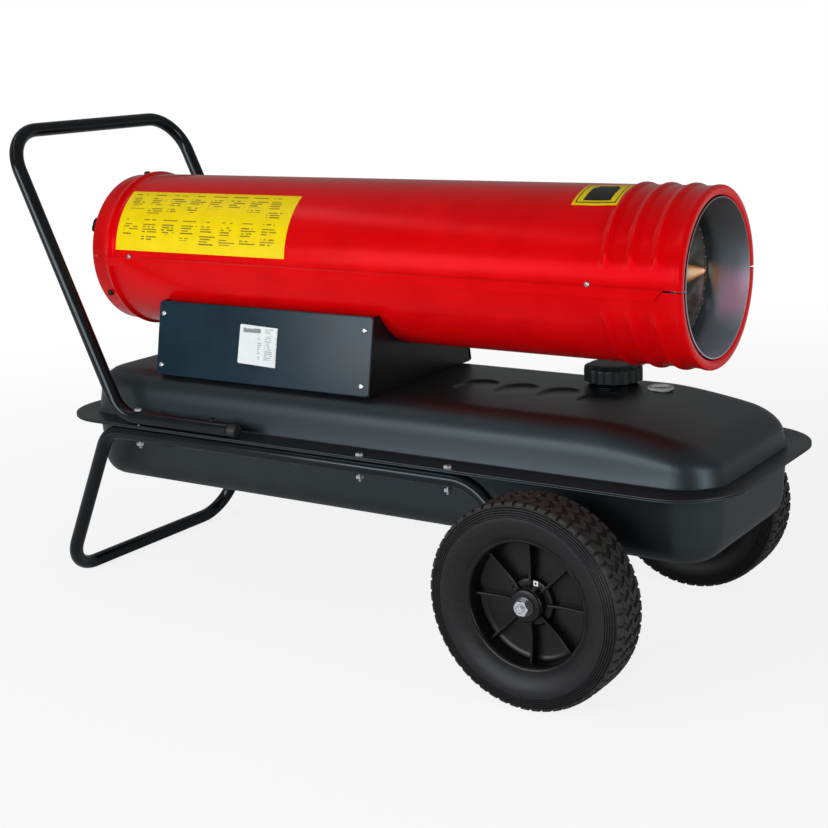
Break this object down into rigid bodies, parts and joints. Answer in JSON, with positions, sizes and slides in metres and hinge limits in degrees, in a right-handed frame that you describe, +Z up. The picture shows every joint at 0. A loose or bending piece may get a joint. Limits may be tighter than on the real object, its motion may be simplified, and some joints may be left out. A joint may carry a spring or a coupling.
{
  "type": "forced air heater",
  "caption": "Oil-fired forced air heater: a heater tube on a control box above a pressed steel fuel tank, on a wheeled tube stand with a push handle.",
  "frame": {"origin": "centre of the bounding box, on the floor plane under the tyres and the stand's foot bar", "axes": "+X towards the hot-air outlet, +Y towards the side with the filler and the controls, +Z up"},
  "size_m": [1.1074, 0.544, 0.6735],
  "materials": {
    "tank_paint": "satin black paint with a fine grain",
    "frame_paint": "semi-gloss black paint",
    "tube_paint": "high-gloss red paint",
    "box_paint": "semi-gloss blue-black paint",
    "tyre": "moulded black rubber with block tread",
    "rubber": "plain black rubber",
    "black_plastic": "moulded black plastic, low sheen",
    "white_plastic": "smooth off-white plastic",
    "zinc": "bright zinc plating",
    "steel": "plain turned steel",
    "stainless": "stainless sheet with heat tint",
    "aluminium": "plain cast and stamped aluminium",
    "brass": "plain brass",
    "ceramic": "glazed off-white ceramic and potting",
    "circuit_board": "green circuit board",
    "cork": "plain cork",
    "clear_lens": "clear moulded lens"
  },
  "bodies": {
    "heater": {"tank_upper_shell": "tank_paint", "tank_lower_shell": "tank_paint", "drain_plug": "zinc", "filler_neck": "frame_paint", "filler_strainer": "white_plastic", "gauge_body": "zinc", "gauge_lens": "clear_lens", "stand_frame": "frame_paint", "push_handle": "frame_paint", "axle": "steel", "upper_casing": "tube_paint", "lower_casing": "tube_paint", "rear_guard": "frame_paint", "combustion_chamber": "stainless", "flame_baffle": "stainless", "burner_head": "stainless", "fuel_nozzle": "brass", "spark_electrodes": "ceramic", "flame_sensor": "black_plastic", "motor_housing": "aluminium", "motor_bracket": "steel", "pump_housing": "aluminium", "control_box": "box_paint", "side_cover": "box_paint", "control_panel": "box_paint", "cable_gland": "black_plastic", "ignition_transformer": "ceramic", "control_board": "circuit_board", "suction_pipe": "brass", "fuel_hose": "rubber", "air_hose": "rubber", "handle_end_cap_near": "black_plastic", "flange_bolt_near_1": "zinc", "flange_bolt_near_2": "zinc", "flange_bolt_near_3": "zinc", "flange_bolt_near_4": "zinc", "axle_washer_near": "zinc", "axle_nut_near": "zinc", "handle_end_cap_far": "black_plastic", "flange_bolt_far_1": "zinc", "flange_bolt_far_2": "zinc", "flange_bolt_far_3": "zinc", "flange_bolt_far_4": "zinc", "axle_washer_far": "zinc", "axle_nut_far": "zinc"},
    "wheel_near": {"rim_near": "black_plastic", "tyre_near": "tyre", "wheel_bush_near": "brass"},
    "wheel_far": {"rim_far": "black_plastic", "tyre_far": "tyre", "wheel_bush_far": "brass"},
    "fan_rotor": {"motor_rotor": "steel", "fan": "aluminium", "pump_rotor": "steel"},
    "seal": {"cap_seal": "rubber"},
    "cap": {"fuel_cap": "black_plastic"},
    "float": {"gauge_float": "cork"},
    "needle": {"gauge_needle": "white_plastic"},
    "switch": {"rocker_switch": "black_plastic"},
    "knob": {"thermostat_knob": "black_plastic"}
  },
  "joints": [
    {"name": "wheel_near_spin", "type": "hinge", "parent": "heater", "child": "wheel_near", "pos_m": [0.34625, -0.237, 0.127], "axis": [0, 1, 0], "continuous": true},
    {"name": "wheel_far_spin", "type": "hinge", "parent": "heater", "child": "wheel_far", "pos_m": [0.34625, 0.237, 0.127], "axis": [0, 1, 0], "continuous": true},
    {"name": "fan_spin", "type": "hinge", "parent": "heater", "child": "fan_rotor", "pos_m": [-0.31375, 0, 0.4794], "axis": [1, 0, 0], "continuous": true},
    {"name": "cap_lift", "type": "slide", "parent": "heater", "child": "seal", "axis": [0, 0, 1], "range_m": [0, 0.012]},
    {"name": "cap_turn", "type": "hinge", "parent": "seal", "child": "cap", "pos_m": [0.29825, 0.072, 0.336], "axis": [0, 0, 1], "range_deg": [0, 720]},
    {"name": "float_slide", "type": "slide", "parent": "heater", "child": "float", "axis": [0, 0, 1], "range_m": [0, 0.1]},
    {"name": "needle_turn", "type": "hinge", "parent": "heater", "child": "needle", "pos_m": [0.36625, 0.072, 0.319], "axis": [0, 0, 1], "range_deg": [0, 240]},
    {"name": "switch_rock", "type": "hinge", "parent": "heater", "child": "switch", "pos_m": [-0.21375, 0.11921, 0.36931], "axis": [1, 0, 0], "range_deg": [0, 12]},
    {"name": "thermostat_turn", "type": "hinge", "parent": "heater", "child": "knob", "pos_m": [-0.09375, 0.1197, 0.3694], "axis": [0, 0.9835, 0.1811], "range_deg": [0, 270]}
  ],
  "couplings": [
    {"joint": "cap_lift", "follows": "cap_turn", "m_per_rad": 0.0009549},
    {"joint": "needle_turn", "follows": "float_slide", "rad_per_m": 41.88}
  ]
}
